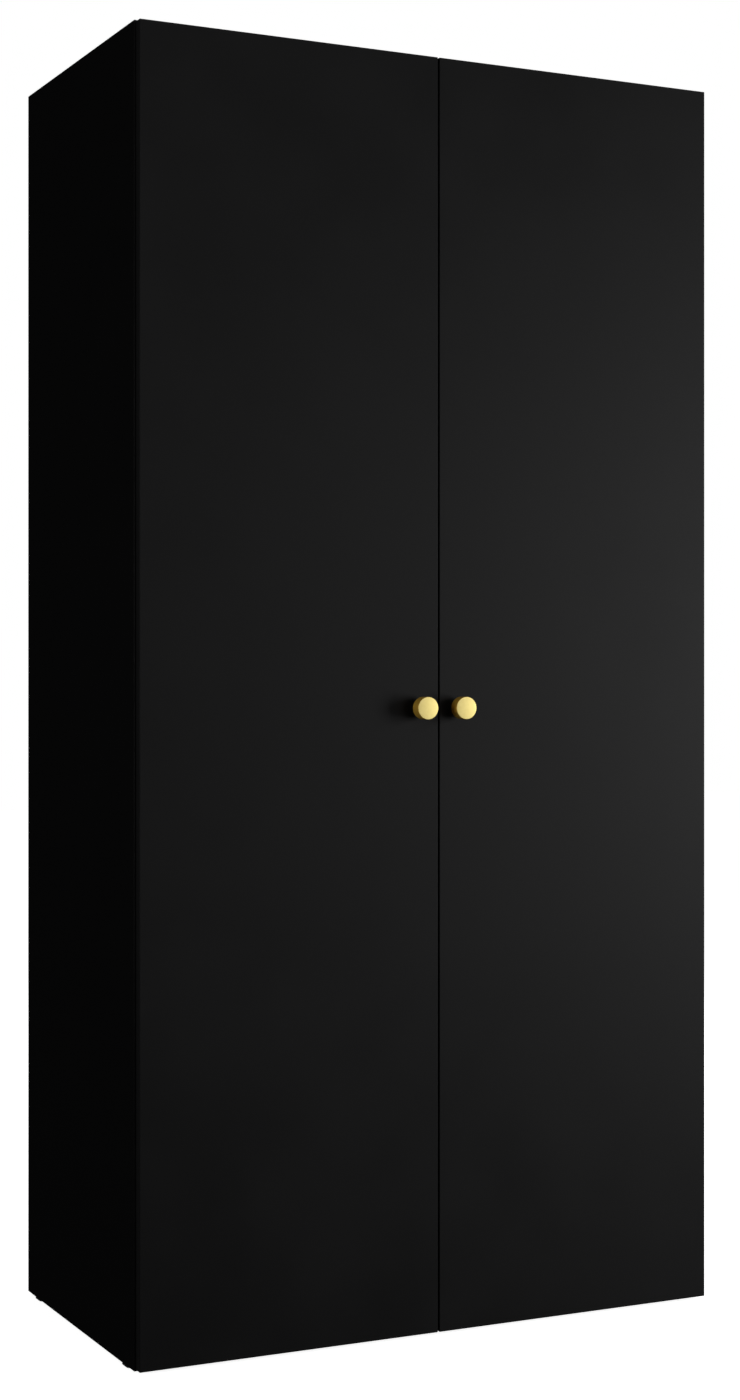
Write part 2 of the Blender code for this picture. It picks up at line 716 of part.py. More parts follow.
def make_hinges(side, sign, pivots):
    """Three hinges. Their cups ride on the door, and their links turn about the pins they hang on."""
    makers = {
        "cup": (hinge_cup, pivots["door"]),
        "arm": (hinge_arm, None),
        "plate": (hinge_plate, None),
        "outer_link": (hinge_outer_link, pivots["outer"]),
        "inner_link": (hinge_inner_link, pivots["inner"]),
    }
    for height, z in hinge_heights().items():
        place = Vector((sign * (DOOR_EDGE_X - CUP_FROM_EDGE), DOOR_BACK_Y, z))
        for piece, (maker, pivot) in makers.items():
            obj = maker(f"hinge_{piece}_{side}_{height}")
            obj.parent = pivot
            obj.location = place - (pivot.location if pivot else Vector())
            obj.scale.x = -sign


def pivot_at(name, sign, pin):
    """An empty on the line of a hinge pin, level with the floor."""
    pivot = add_object(name, None, None)
    x = sign * (DOOR_EDGE_X - CUP_FROM_EDGE - pin[0])
    pivot.location = (x, DOOR_BACK_Y + pin[1], 0.0)
    return pivot


def make_doors():
    for side, sign in SIDES.items():
        pivots = {
            "outer": pivot_at(f"outer_links_{side}_axis", sign, OUTER_ARM_PIN),
            "inner": pivot_at(f"inner_links_{side}_axis", sign, INNER_ARM_PIN),
            "door": pivot_at(f"door_{side}_axis", sign, OUTER_CUP_PIN),
        }
        make_door(side, sign, pivots["door"])
        make_knob(side, sign, pivots["door"])
        make_hinges(side, sign, pivots)


make_side_panels()
make_top_and_bottom()
make_divider()
make_back()
make_back_strip()
make_shelves()
make_rail()
make_glides()
make_brackets()
make_doors()
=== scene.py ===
"""The looks of a two-door wardrobe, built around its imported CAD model.

Boards, knobs and their screws, the rail and its sockets, the wall brackets and the glides are made
again here with their fine shapes, at the size and place of the CAD nodes they stand for. The
concealed hinges and the back keep their CAD shapes, and fittings with no CAD node are added.
All sizes are in metres: +Z is up, and the doors face -Y.
"""

import math

import bmesh
import bpy
from mathutils import Matrix, Vector


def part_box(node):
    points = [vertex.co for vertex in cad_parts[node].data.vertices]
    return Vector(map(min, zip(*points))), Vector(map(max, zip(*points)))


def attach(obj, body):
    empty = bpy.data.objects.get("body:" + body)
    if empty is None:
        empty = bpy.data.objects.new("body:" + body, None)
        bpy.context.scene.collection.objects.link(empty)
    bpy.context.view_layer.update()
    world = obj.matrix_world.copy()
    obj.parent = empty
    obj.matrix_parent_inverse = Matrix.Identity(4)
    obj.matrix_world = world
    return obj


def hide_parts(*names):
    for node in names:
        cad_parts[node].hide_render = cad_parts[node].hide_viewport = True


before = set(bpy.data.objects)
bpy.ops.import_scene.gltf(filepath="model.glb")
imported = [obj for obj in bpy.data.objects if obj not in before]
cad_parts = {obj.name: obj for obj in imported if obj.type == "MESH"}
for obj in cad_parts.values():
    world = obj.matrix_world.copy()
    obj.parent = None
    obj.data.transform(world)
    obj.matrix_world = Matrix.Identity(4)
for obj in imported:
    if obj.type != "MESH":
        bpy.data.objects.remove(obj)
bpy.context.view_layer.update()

SIDES = {"left": -1, "right": 1}
HEIGHTS = ("low", "middle", "high")

# Camera: level, just above the height of the knobs, to the left of the doors, turned in degrees
CAMERA_PLACE = (-1.7111, -3.4369, 1.0253)
CAMERA_TURN = 25.384
CAMERA_LENS = 59.57
CAMERA_SHIFT = (0.0320, -0.0144)

WHITE = (1.0, 1.0, 1.0, 1.0)

# The floor's own light, which grows to full white between these distances from the object
FLOOR_GLOW = 0.90
FLOOR_GLOW_SPAN = (1.0, 4.0)
FLOOR_HALF_SIZE = 14.0

# Light from all round, and the softboxes: place, target, width, height and power in watts
ROOM_LIGHT = 0.025
SOFTBOXES = {
    "key_softbox": ((4.0, -2.75, 1.10), (0.0, -0.24, 1.05), 1.6, 2.3, 161.0),
    "front_softbox": ((1.9, -4.2, 1.20), (0.0, -0.24, 1.05), 2.0, 2.4, 16.0),
    "left_softbox": ((-3.4, -0.75, 1.20), (0.0, -0.25, 1.0), 1.2, 1.6, 27.0),
    "rear_softbox": ((1.2, 3.4, 2.4), (0.0, 0.2, 1.0), 2.0, 2.0, 60.0),
    "top_softbox": ((-0.4, -3.0, 3.6), (0.0, -0.1, 1.0), 1.8, 1.8, 14.0),
}

# Faces that the pieces share, read from the frame
SIDE_LOW, SIDE_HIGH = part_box("side_panel_right")
DIVIDER_LOW, DIVIDER_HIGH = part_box("centre_divider")
TOP_LOW, TOP_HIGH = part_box("top_panel")
BOTTOM_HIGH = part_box("bottom_panel")[1]
BACK_LOW, BACK_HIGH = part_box("back_panel_right")
DOOR_LOW, DOOR_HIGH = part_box("door_right")
FRONT_Y = SIDE_LOW.y
INNER_X = SIDE_LOW.x
BOARD = SIDE_HIGH.x - SIDE_LOW.x

# Boards
ROUNDING = 0.0007
DOOR_ROUNDING = 0.0009
GROOVE_DEPTH = 0.006
GROOVE_CLEARANCE = 0.0003
CUT_PAST = 0.004

# Holes for shelf pins: two columns, and a few holes above and below each pin
PIN_HOLE_RADIUS = 0.0025
PIN_HOLE_DEPTH = 0.009
PIN_HOLE_STEP = 0.032
PIN_HOLES_EACH_WAY = 2
PIN_COLUMN_FRONT = 0.037
PIN_COLUMN_REAR = 0.055

# The sliver of clearance or overlap where a small fitting meets its neighbour
CONTACT = 0.0001

# Rounding of thin metal, of the cast sockets and of the glides
METAL_ROUNDING = 0.0003
SOCKET_ROUNDING = 0.0004
GLIDE_ROUNDING = 0.0008

# Knobs, whose head and length come from the frame
KNOB_STEM_SHARE = 0.4
KNOB_STEM_LENGTH = 0.0105
KNOB_EDGE = 0.0006
KNOB_FILLET = 0.0012
ARC_STEPS = 4

# Shelf pins: a dowel in the panel and a flat-topped spoon under the shelf
PIN_RADIUS = 0.0024
PIN_SPOON_REACH = 0.0085
PIN_SPOON_HALF_WIDTH = 0.0050
PIN_SPOON_HEIGHT = 0.0055
PIN_SPOON_EDGE = 0.0012
PIN_DOWEL_OUT = 0.001

# Caps over the cam fittings that pull the boards together
CAP_RADIUS = 0.0085
CAP_HEIGHT = 0.0007
CAP_EDGE = 0.0004
CAP_RIM = 0.0012
CAP_DIMPLE = 0.0016
CAP_FROM_END = 0.034
CAP_FROM_FRONT = 0.050
CAP_FROM_REAR = 0.060

# Screw heads: the radius and height of each kind, then the cross recess in them, whose length is
# a share of the radius
EAR_SCREW = (0.0034, 0.0011)
WING_SCREW = (0.0038, 0.0012)
WEB_SCREW = (0.0032, 0.0012)
SOCKET_SCREW = (0.0034, 0.0012)
BRACKET_SCREW = (0.0037, 0.0013)
CROSS_SHARE = 1.15
CROSS_WIDTH = 0.0009
CROSS_DEPTH = 0.0009

# Hinge places, as in the CAD: inward from the cup's middle, back from the door's inner face, and up
EAR_PLACE = (0.0060, 0.0013, 0.0240)
WING_PLACE = (-0.0042, 0.0390, 0.0175)
WEB_PLACES = ((0.0023, 0.0330, 0.0), (0.0023, 0.0560, 0.0))
RIVET_PLACES = ((0.0125, 0.0120, 0.0070), (0.0117, -0.0078, 0.0070))
RIVET_RADIUS = 0.0017
RIVET_HEIGHT = 0.0004
HINGE_ROUNDING = 0.00018

# Hanging rail and its sockets
RAIL_WALL = 0.0012
SOCKET_WALL = 0.0025
SOCKET_PLATE = 0.0030
SOCKET_CLEARANCE = 0.0004
SOCKET_SCREW_HEIGHT = 0.0250

# Wall brackets
BRACKET_THICKNESS = 0.0020
BRACKET_BEND = 0.0030
BRACKET_HOLE = 0.0026
BRACKET_HOLE_SPREAD = 0.0110
BRACKET_HOLE_REACH = 0.0170

# Knob screws, with the head's radius and height
SCREW_RADIUS = 0.0020
SCREW_HEAD = (0.00425, 0.0026)
SCREW_HOLE = 0.0023

# Door bumpers, at the top and bottom of each door near the gap between the doors
BUMPER_RADIUS = 0.0040
BUMPER_HEIGHT = 0.0017
BUMPER_FROM_MIDDLE = 0.040
BUMPER_FROM_END = 0.0055


# Materials


def new_material(name, colour, roughness, metallic=0.0, **sockets):
    """A material with a Principled shader. Each further value goes onto the socket of that name."""
    material = bpy.data.materials.new(name)
    material.use_nodes = True
    shader = material.node_tree.nodes["Principled BSDF"]
    shader.inputs["Base Color"].default_value = (*colour, 1.0)
    shader.inputs["Roughness"].default_value = roughness
    shader.inputs["Metallic"].default_value = metallic
    for socket, value in sockets.items():
        shader.inputs[socket.replace("_", " ")].default_value = value
    material.diffuse_color = (*colour, 1.0)
    return material


def shader_of(material):
    return material.node_tree.nodes["Principled BSDF"]


def add_node(material, kind, **inputs):
    """A new node. An input's value is a number, a vector, or another node's output."""
    node = material.node_tree.nodes.new(kind)
    for name, value in inputs.items():
        socket = node.inputs[name.replace("_", " ")]
        if isinstance(value, bpy.types.NodeSocket):
            material.node_tree.links.new(value, socket)
        else:
            socket.default_value = value
    return node


def place_on(material, stretch=(1.0, 1.0, 1.0)):
    """The object's own coordinates, in metres, multiplied by a stretch along each axis."""
    source = add_node(material, "ShaderNodeTexCoord")
    own = source.outputs["Object"]
    return add_node(material, "ShaderNodeMapping", Vector=own, Scale=stretch).outputs["Vector"]


def noise(material, scale, detail=3.0, stretch=(1.0, 1.0, 1.0)):
    """Clouds from 0 to 1, a scale of 100 giving clouds of about a centimetre."""
    node = add_node(
        material,
        "ShaderNodeTexNoise",
        Vector=place_on(material, stretch),
        Scale=scale,
        Detail=detail,
        Roughness=0.5,
    )
    return node.outputs["Fac"]


def cells(material, scale, stretch=(1.0, 1.0, 1.0)):
    """A pattern of cells, whose outputs are Distance and Color."""
    place = place_on(material, stretch)
    return add_node(material, "ShaderNodeTexVoronoi", Vector=place, Scale=scale).outputs


def remap(material, source, low, high, to_low, to_high):
    """Turns the range from low to high into that from to_low to to_high, and stops at its ends."""
    node = add_node(
        material,
        "ShaderNodeMapRange",
        Value=source,
        From_Min=low,
        From_Max=high,
        To_Min=to_low,
        To_Max=to_high,
    )
    return node.outputs["Result"]


def calculate(material, operation, first, second):
    node = material.node_tree.nodes.new("ShaderNodeMath")
    node.operation = operation
    for socket, value in zip(node.inputs, (first, second)):
        if isinstance(value, bpy.types.NodeSocket):
            material.node_tree.links.new(value, socket)
        else:
            socket.default_value = value
    return node.outputs["Value"]


def between(material, share, first, second):
    """A colour that goes from the first to the second as the share goes from 0 to 1."""
    node = material.node_tree.nodes.new("ShaderNodeValToRGB")
    node.color_ramp.elements[0].color = (*first, 1.0)
    node.color_ramp.elements[1].color = (*second, 1.0)
    material.node_tree.links.new(share, node.inputs["Fac"])
    return node.outputs["Color"]


def feed(material, socket, source):
    material.node_tree.links.new(source, shader_of(material).inputs[socket])


def feed_bump(material, height, distance, strength=1.0):
    """Raises the surface by the height's value times the distance, in metres."""
    bump = add_node(
        material, "ShaderNodeBump", Height=height, Distance=distance, Strength=strength
    )
    feed(material, "Normal", bump.outputs["Normal"])


def make_laminate(name, roughness, shades, specular):
    """Matt black melamine: a fine pearl texture, and faint clouds where hands have polished it."""
    material = new_material(name, (0.0065, 0.0065, 0.0067), 0.5, Specular_IOR_Level=specular)
    clouds = noise(material, 7.0, detail=4.0)
    pearl = noise(material, 1500.0, detail=2.0)
    dark, light = shades
    colour = between(
        material,
        remap(material, clouds, 0.3, 0.7, 0.0, 1.0),
        (dark, dark, dark * 1.03),
        (light, light, light * 1.03),
    )
    feed(material, "Base Color", colour)
    smudges = remap(material, clouds, 0.35, 0.7, *roughness)
    grain = remap(material, pearl, 0.3, 0.7, -0.02, 0.02)
    feed(material, "Roughness", calculate(material, "ADD", smudges, grain))
    feed_bump(material, pearl, 0.00004, 0.35)
    return material


def make_edge_band():
    """Black plastic edging: glossier than the faces, with fine upright streaks, lightly rubbed."""
    black = (0.008, 0.008, 0.0082)
    material = new_material("black_edge_band", black, 0.42, Specular_IOR_Level=0.14)
    rub = calculate(material, "MULTIPLY", noise(material, 35.0, detail=5.0), noise(material, 260.0))
    worn = remap(material, rub, 0.30, 0.42, 0.0, 1.0)
    colour = between(material, worn, (0.0066, 0.0066, 0.0068), (0.0092, 0.0092, 0.0094))
    feed(material, "Base Color", colour)
    feed(material, "Roughness", remap(material, rub, 0.15, 0.40, 0.38, 0.50))
    feed_bump(material, noise(material, 900.0, stretch=(1.0, 1.0, 0.06)), 0.00003, 0.4)
    return material


def make_chipboard():
    """The raw edge of particle board: pressed chips in several browns."""
    material = new_material("raw_chipboard", (0.30, 0.20, 0.11), 0.85)
    chips = cells(material, 420.0, stretch=(1.0, 1.0, 0.4))
    shade = add_node(material, "ShaderNodeSeparateColor", Color=chips["Color"])
    colour = between(material, shade.outputs["Red"], (0.13, 0.080, 0.042), (0.42, 0.30, 0.175))
    feed(material, "Base Color", colour)
    feed_bump(material, chips["Distance"], 0.0006, 0.6)
    return material


def make_hardboard():
    """Hardboard painted black: fine upright fibres, and paint that sinks in unevenly."""
    material = new_material("black_hardboard", (0.015, 0.015, 0.015), 0.66)
    fibres = noise(material, 260.0, detail=6.0, stretch=(1.0, 1.0, 0.25))
    mottle = noise(material, 22.0, detail=4.0)
    mixed = calculate(material, "MULTIPLY", fibres, mottle)
    share = remap(material, mixed, 0.12, 0.42, 0.0, 1.0)
    colour = between(material, share, (0.032, 0.032, 0.032), (0.062, 0.060, 0.058))
    feed(material, "Base Color", colour)
    feed(material, "Roughness", remap(material, fibres, 0.3, 0.7, 0.56, 0.76))
    feed_bump(material, fibres, 0.0003, 0.35)
    return material


def turning_lines(material, centre, lines_per_metre):
    """Ridges from 0 to 1 in rings about a line along Y through the centre."""
    source = add_node(material, "ShaderNodeTexCoord")
    shifted = material.node_tree.nodes.new("ShaderNodeVectorMath")
    shifted.operation = "SUBTRACT"
    material.node_tree.links.new(source.outputs["Object"], shifted.inputs[0])
    shifted.inputs[1].default_value = centre
    parts = add_node(material, "ShaderNodeSeparateXYZ", Vector=shifted.outputs["Vector"]).outputs
    across = calculate(material, "MULTIPLY", parts["X"], parts["X"])
    upward = calculate(material, "MULTIPLY", parts["Z"], parts["Z"])
    radius = calculate(material, "POWER", calculate(material, "ADD", across, upward), 0.5)
    travel = calculate(material, "ADD", radius, parts["Y"])
    angle = calculate(material, "MULTIPLY", travel, lines_per_metre * math.tau)
    return remap(material, calculate(material, "SINE", angle, 0.0), -1.0, 1.0, 0.0, 1.0)


def make_gold(side, centre):
    """Satin brass turned in rings about the knob's own axis, its rim deeper in colour: painted
    shade.
    """
    material = new_material(f"satin_gold_{side}", (0.90, 0.75, 0.29), 0.58, metallic=0.68)
    lines = turning_lines(material, centre, 2600.0)
    tarnish = noise(material, 160.0, detail=4.0)
    clouds = remap(material, tarnish, 0.3, 0.7, 0.0, 1.0)
    face = between(material, clouds, (0.89, 0.735, 0.265), (0.95, 0.80, 0.32))
    # Painted shade: the rim takes a darker, deeper gold that stands in for the shade on the knob's
    # side
    rim = between(material, clouds, (0.84, 0.50, 0.06), (0.90, 0.56, 0.08))
    source = add_node(material, "ShaderNodeTexCoord")
    facing = add_node(material, "ShaderNodeSeparateXYZ", Vector=source.outputs["Normal"])
    # Painted shade by the normal: the face colour where the surface faces along Y, the rim's
    # painted shade on the side
    unshaded_share = calculate(material, "MULTIPLY", facing.outputs["Y"], facing.outputs["Y"])
    mix = material.node_tree.nodes.new("ShaderNodeMix")
    mix.data_type = "RGBA"
    material.node_tree.links.new(unshaded_share, mix.inputs["Factor"])
    material.node_tree.links.new(rim, mix.inputs["A"])
    material.node_tree.links.new(face, mix.inputs["B"])
    feed(material, "Base Color", mix.outputs["Result"])
    feed(material, "Roughness", remap(material, tarnish, 0.3, 0.75, 0.55, 0.62))
    feed_bump(material, lines, 0.000012, 0.35)
    return material


def make_steel():
    """Pressed steel with bright nickel plating, faintly brushed."""
    material = new_material("nickel_steel", (0.60, 0.585, 0.56), 0.26, metallic=1.0)
    brushed = noise(material, 2600.0, detail=2.0, stretch=(1.0, 1.0, 0.12))
    cloud = noise(material, 120.0, detail=3.0)
    share = remap(material, cloud, 0.3, 0.7, 0.0, 1.0)
    feed(material, "Base Color", between(material, share, (0.54, 0.53, 0.50), (0.66, 0.65, 0.62)))
    feed(material, "Roughness", remap(material, brushed, 0.3, 0.7, 0.24, 0.33))
    feed_bump(material, brushed, 0.00001, 0.4)
    return material


def make_chrome():
    """Chromed tube, with the faint scratches that hangers leave."""
    material = new_material("chrome_tube", (0.78, 0.78, 0.79), 0.10, metallic=1.0)
    scratches = noise(material, 700.0, detail=4.0, stretch=(0.10, 1.0, 1.0))
    feed(material, "Roughness", remap(material, scratches, 0.4, 0.75, 0.06, 0.20))
    share = remap(material, scratches, 0.35, 0.7, 0.0, 1.0)
    feed(material, "Base Color", between(material, share, (0.80, 0.80, 0.81), (0.70, 0.70, 0.71)))
    feed_bump(material, scratches, 0.00001, 0.25)
    return material


def make_plastic():
    """Moulded black plastic with a spark-eroded grain."""
    material = new_material("black_plastic", (0.02, 0.02, 0.02), 0.5)
    grain = cells(material, 1300.0)["Distance"]
    colour = between(material, noise(material, 90.0), (0.016, 0.016, 0.016), (0.026, 0.026, 0.026))
    feed(material, "Base Color", colour)
    feed(material, "Roughness", remap(material, grain, 0.0, 0.6, 0.58, 0.42))
    feed_bump(material, grain, 0.00006, 0.4)
    return material


# Melamine of the doors; a darker, duller copy of it for the left panel's outer face, painted shade
# that keeps that face nearly black; and a paler, glossier copy for the faces inside, painted light
LAMINATE = make_laminate("black_laminate", (0.46, 0.52), (0.0058, 0.0072), 0.10)
PAINTED_SHADE_LAMINATE = make_laminate("black_laminate_painted_shade", (0.50, 0.58), (0.0030, 0.0038), 0.040)
# Painted light: the faces inside get a paler, glossier copy of the door melamine, lifting them out
# of their shade
PAINTED_LIGHT_LAMINATE = make_laminate("black_laminate_painted_light", (0.44, 0.52), (0.0260, 0.0320), 0.25)
BAND = make_edge_band()
CHIPBOARD = make_chipboard()
HARDBOARD = make_hardboard()
STEEL = make_steel()
CHROME = make_chrome()
PLASTIC = make_plastic()


# Mesh helpers


def mesh_of(name, build):
    """A new mesh that build(bm) fills, with its faces pointing out."""
    bm = bmesh.new()
    build(bm)
    bmesh.ops.recalc_face_normals(bm, faces=bm.faces)
    mesh = bpy.data.meshes.new(name)
    bm.to_mesh(mesh)
    bm.free()
    return mesh


def box_mesh(name, low, high):
    size = Vector(high) - Vector(low)
    middle = (Vector(high) + Vector(low)) / 2
    place = Matrix.Translation(middle) @ Matrix.Diagonal((*size, 1.0))
    return mesh_of(name, lambda bm: bmesh.ops.create_cube(bm, size=1.0, matrix=place))


def frame_along(axis):
    """A turn that takes +Z to the axis."""
    return Vector(axis).to_track_quat("Z", "Y").to_matrix().to_4x4()


def turned_mesh(name, profile, steps, axis=(0.0, 0.0, 1.0), place=(0.0, 0.0, 0.0)):
    """A profile of (radius, height) points turned about an axis. Points on the axis close it."""
    matrix = Matrix.Translation(place) @ frame_along(axis)

    def build(bm):
        rings = []
        for radius, height in profile:
            if radius == 0.0:
                rings.append([bm.verts.new(matrix @ Vector((0.0, 0.0, height)))])
                continue
            ring = []
            for step in range(steps):
                angle = math.tau * step / steps
                point = Vector((radius * math.cos(angle), radius * math.sin(angle), height))
                ring.append(bm.verts.new(matrix @ point))
            rings.append(ring)
        for lower, upper in zip(rings, rings[1:]):
            for step in range(steps):
                after = (step + 1) % steps
                corners = [lower[step % len(lower)], lower[after % len(lower)]]
                corners += [upper[after % len(upper)], upper[step % len(upper)]]
                bm.faces.new(dict.fromkeys(corners))

    return mesh_of(name, build)


def prism_mesh(name, loop, low, high, matrix=Matrix.Identity(4)):
    """A closed loop of (x, y) points raised along Z from low to high, then placed."""

    def build(bm):
        rings = [[bm.verts.new(matrix @ Vector((x, y, z))) for x, y in loop] for z in (low, high)]
        for step in range(len(loop)):
            after = (step + 1) % len(loop)
            bm.faces.new((rings[0][step], rings[0][after], rings[1][after], rings[1][step]))
        bm.faces.new(rings[0])
        bm.faces.new(rings[1])

    return mesh_of(name, build)


def joined(name, meshes):
    """Several meshes as one mesh of separate bodies."""
    bm = bmesh.new()
    for mesh in meshes:
        bm.from_mesh(mesh)
    made = bpy.data.meshes.new(name)
    bm.to_mesh(made)
    bm.free()
    return made


def with_boolean(mesh, other, operation):
    """The mesh after a Boolean with another one."""
    holders = [bpy.data.objects.new("holder", data) for data in (mesh, other)]
    for holder in holders:
        bpy.context.scene.collection.objects.link(holder)
    modifier = holders[0].modifiers.new("boolean", "BOOLEAN")
    modifier.operation = operation
    modifier.solver = "EXACT"
    modifier.object = holders[1]
    graph = bpy.context.evaluated_depsgraph_get()
    made = bpy.data.meshes.new_from_object(holders[0].evaluated_get(graph))
    made.name = mesh.name
    for holder in holders:
        bpy.data.objects.remove(holder)
    return made


def drill(radius, start, axis, depth, past=CUT_PAST, steps=20):
    """A drill bit's cylinder, from a little before the surface to the depth along the axis."""
    profile = [(0.0, -past), (radius, -past), (radius, depth), (0.0, depth)]
    return turned_mesh("drill", profile, steps, axis, start)


def bevel_edges(obj, width, segments, angle):
    """Rounds the edges at which faces meet by more than an angle in degrees."""
    bevel = obj.modifiers.new("round_edges", "BEVEL")
    bevel.width = width
    bevel.segments = segments
    bevel.limit_method = "ANGLE"
    bevel.angle_limit = math.radians(angle)
    return bevel


def soften(obj, width, segments=3):
    """Rounds a new piece's edges and shades it smooth."""
    bevel_edges(obj, width, segments, 40.0).harden_normals = True
    obj.data.shade_smooth()


def smooth(mesh, angle=35.0):
    mesh.shade_smooth()
    mesh.set_sharp_from_angle(angle=math.radians(angle))


def add_piece(name, mesh, materials, body="carcass", stands_for=()):
    """Puts a mesh in the scene as a piece that rides on a body."""
    mesh.name = name
    mesh.materials.clear()
    for material in materials:
        mesh.materials.append(material)
    obj = bpy.data.objects.new(name, mesh)
    bpy.context.scene.collection.objects.link(obj)
    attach(obj, body)
    if stands_for:
        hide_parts(*stands_for)
    return obj


# Boards. A board's faces are laminate, its shown edges are banded and its hidden ones are raw.


FACE_NAMES = {
    "-x": (-1, 0, 0),
    "+x": (1, 0, 0),
    "-y": (0, -1, 0),
    "+y": (0, 1, 0),
    "-z": (0, 0, -1),
    "+z": (0, 0, 1),
}
# The laminate, and then the others in the order in which add_board goes through its faces
BOARD_MATERIALS = (LAMINATE, BAND, CHIPBOARD, PAINTED_SHADE_LAMINATE, PAINTED_LIGHT_LAMINATE)


def add_board(
    node, body="carcass", banded=(), raw=(), painted_shade=(), inner=(), cuts=(), rounding=ROUNDING
):
    """A board at the place of a CAD node, with its grooves and holes cut."""
    low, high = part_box(node)
    mesh = box_mesh(node, low, high)
    for material in BOARD_MATERIALS:
        mesh.materials.append(material)
    # Faces on the shaded list get the darker laminate copy, which is painted shade; inner faces get
    # the paler copy, which is painted light
    for polygon in mesh.polygons:
        for index, names in enumerate((banded, raw, painted_shade, inner), start=1):
            for name in names:
                if polygon.normal.dot(Vector(FACE_NAMES[name])) > 0.9:
                    polygon.material_index = index
    if cuts:
        mesh = with_boolean(mesh, joined("cuts", cuts), "DIFFERENCE")
    indices = [polygon.material_index for polygon in mesh.polygons]
    obj = add_piece(f"{node}_board", mesh, BOARD_MATERIALS, body, [node])
    for polygon, index in zip(obj.data.polygons, indices):
        polygon.material_index = index
    soften(obj, rounding)
    return obj


def back_groove_y():
    return BACK_LOW.y - GROOVE_CLEARANCE, BACK_HIGH.y + GROOVE_CLEARANCE


def pin_columns():
    return FRONT_Y + PIN_COLUMN_FRONT, BACK_LOW.y - PIN_COLUMN_REAR


def shelf_nodes(bay):
    """The shelves of a bay. The left bay has the hat shelf, and the right bay all the others."""
    if bay == "left":
        return ["hat_shelf"]
    return sorted(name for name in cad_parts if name.startswith("shelf_"))


def pin_height(shelf):
    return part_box(shelf)[0].z - PIN_HOLE_RADIUS


def pin_holes(bay, face_x, into):
    """The holes for a bay's shelf pins in one upright face."""
    holes = []
    for shelf in shelf_nodes(bay):
        for y in pin_columns():
            for step in range(-PIN_HOLES_EACH_WAY, PIN_HOLES_EACH_WAY + 1):
                start = (face_x, y, pin_height(shelf) + step * PIN_HOLE_STEP)
                holes.append(drill(PIN_HOLE_RADIUS, start, (into, 0, 0), PIN_HOLE_DEPTH))
    return holes


def make_side_boards():
    front, rear = back_groove_y()
    for side, sign in SIDES.items():
        near, far = sorted((sign * (INNER_X - BOARD), sign * (INNER_X + GROOVE_DEPTH)))
        slot = box_mesh("groove", (near, front, -BOARD), (far, rear, SIDE_HIGH.z + BOARD))
        holes = pin_holes(side, sign * INNER_X, sign)
        add_board(
            f"side_panel_{side}",
            banded=("-y", "+z", "-z"),
            raw=("+y",),
            # Painted shade: the left panel's outer face gets the darker laminate copy, the right
            # one keeps the door laminate
            painted_shade=("-x",) if sign < 0 else (),
            # Painted light: the inner faces get the paler laminate copy
            inner=("-x",) if sign > 0 else ("+x",),
            cuts=[slot, *holes],
        )


def make_level_boards():
    front, rear = back_groove_y()
    width = TOP_HIGH.x + BOARD
    low, high = (-width, front, TOP_LOW.z - BOARD), (width, rear, TOP_LOW.z + GROOVE_DEPTH)
    slot = box_mesh("groove", low, high)
    raw = ("+y", "-x", "+x")
    add_board("top_panel", banded=("-y",), raw=raw, inner=("-z",), cuts=[slot])
    low, high = (-width, front, BOTTOM_HIGH.z - GROOVE_DEPTH), (width, rear, BOTTOM_HIGH.z + BOARD)
    slot = box_mesh("groove", low, high)
    add_board("bottom_panel", banded=("-y",), raw=raw, inner=("+z",), cuts=[slot])
    for node in shelf_nodes("left") + shelf_nodes("right"):
        add_board(node, banded=("-y",), raw=raw, inner=("-z", "+z"))


def make_divider_board():
    holes = pin_holes("left", DIVIDER_LOW.x, 1) + pin_holes("right", DIVIDER_HIGH.x, -1)
    raw = ("+y", "+z", "-z")
    add_board("centre_divider", banded=("-y",), raw=raw, inner=("-x", "+x"), cuts=holes)


def knob_axis(side):
    """The middle of a knob's base, on the door's front face."""
    low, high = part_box(f"knob_{side}")
    return Vector(((low.x + high.x) / 2, DOOR_LOW.y, (low.z + high.z) / 2))


def make_doors():
    for side, sign in SIDES.items():
        bores = []
        for height in HEIGHTS:
            low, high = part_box(f"hinge_cup_{side}_{height}")
            middle = (low + high) / 2
            cup_x = cup_middle_x(side, height)
            radius = abs(cup_x - (high.x if sign > 0 else low.x)) + CONTACT
            depth = DOOR_HIGH.y - low.y + CONTACT
            bores.append(drill(radius, (cup_x, DOOR_HIGH.y, middle.z), (0, -1, 0), depth, steps=64))
        knob = knob_axis(side)
        start = (knob.x, DOOR_HIGH.y, knob.z)
        depth = DOOR_HIGH.y - DOOR_LOW.y + CUT_PAST
        bores.append(drill(SCREW_HOLE, start, (0, -1, 0), depth, steps=24))
        add_board(
            f"door_{side}",
            f"door_{side}",
            banded=("-x", "+x", "-z", "+z"),
            inner=("+y",),
            cuts=bores,
            rounding=DOOR_ROUNDING,
        )


def cup_middle_x(side, height):
    """The middle of a hinge cup, from the widest part of its flange."""
    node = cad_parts[f"hinge_cup_{side}_{height}"]
    low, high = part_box(node.name)
    middle_z = (low.z + high.z) / 2
    reach = [v.co.x for v in node.data.vertices if abs(v.co.z - middle_z) < 0.002]
    return (min(reach) + max(reach)) / 2


make_side_boards()
make_level_boards()
make_divider_board()
make_doors()


# Knobs


def arc(middle, radius, start, end, steps=ARC_STEPS):
    """Points along an arc, with angles in degrees."""
    points = []
    for step in range(steps + 1):
        angle = math.radians(start + (end - start) * step / steps)
        points.append((middle[0] + radius * math.cos(angle), middle[1] + radius * math.sin(angle)))
    return points


